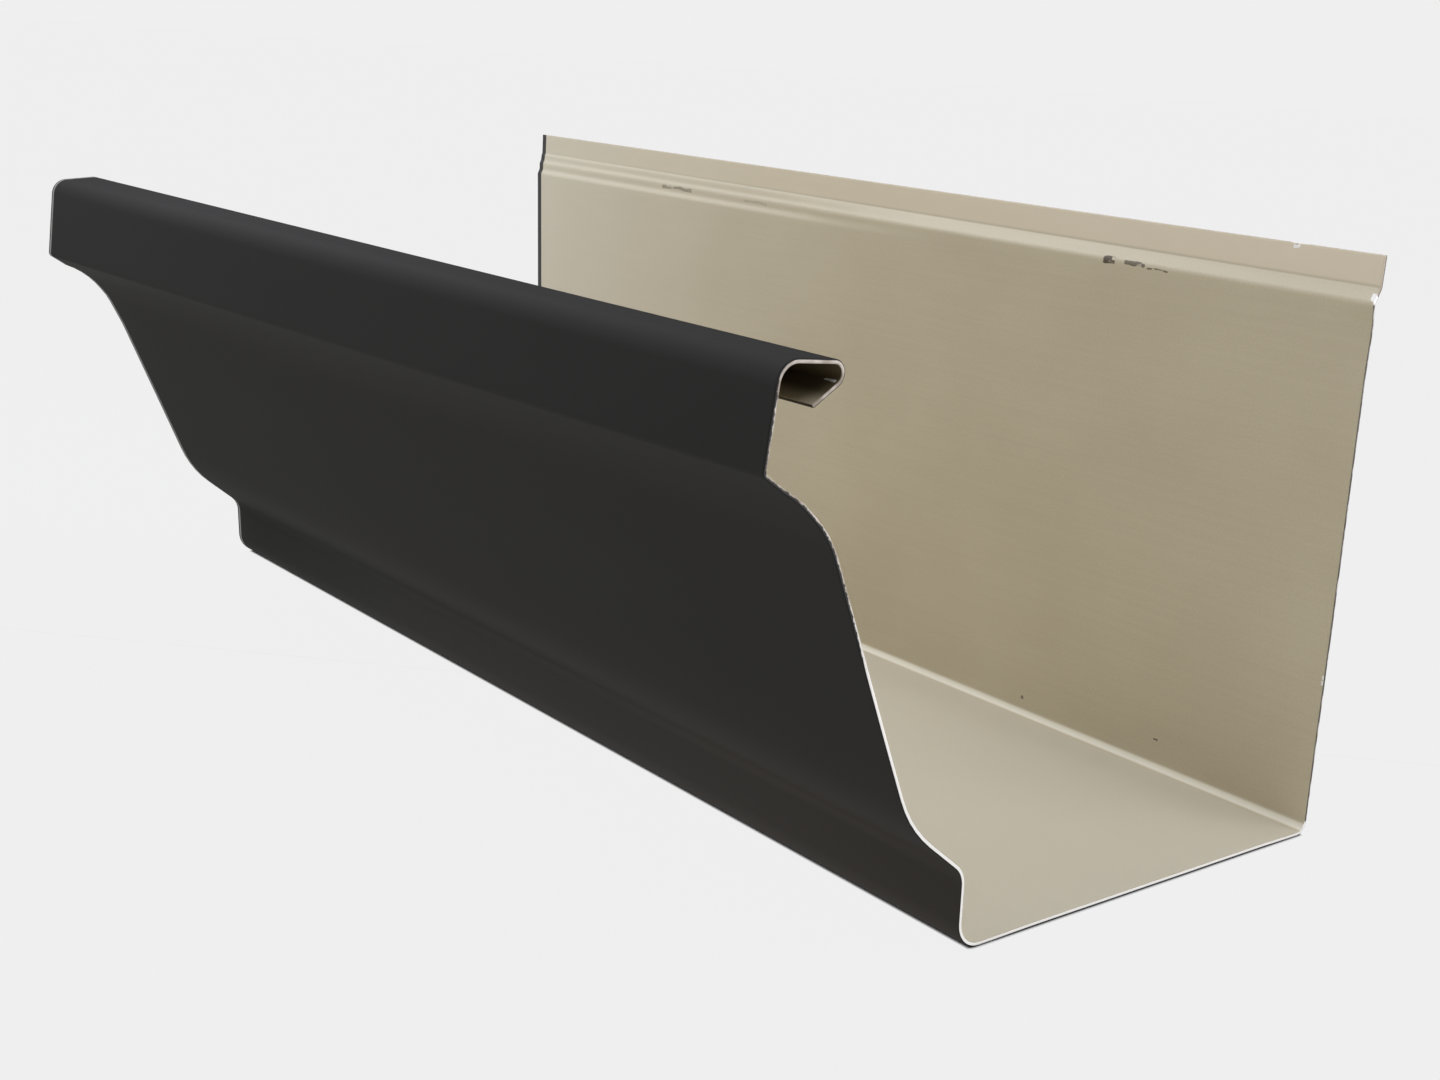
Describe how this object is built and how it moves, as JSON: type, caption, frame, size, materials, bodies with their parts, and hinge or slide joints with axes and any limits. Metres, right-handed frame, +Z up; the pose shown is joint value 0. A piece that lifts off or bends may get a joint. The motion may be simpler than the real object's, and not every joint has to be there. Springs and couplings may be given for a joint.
{
  "type": "gutter section",
  "caption": "Open-topped ogee gutter section of bent aluminium sheet, with a hemmed front bead, flat floor and flanged back wall; carries roof water along its length.",
  "frame": {"origin": "middle of the footprint, on the plane that the floor rests on", "axes": "+X along the length of the gutter, -Y towards the ogee front, +Y towards the back wall, +Z up"},
  "size_m": [0.3048, 0.157, 0.124],
  "materials": {
    "coated_aluminium": "coil-coated sheet: satin charcoal paint on the outer skin, beige wash coat on the inner skin, bare aluminium on the cut ends"
  },
  "bodies": {
    "root": {"gutter_section": "coated_aluminium"}
  },
  "joints": []
}
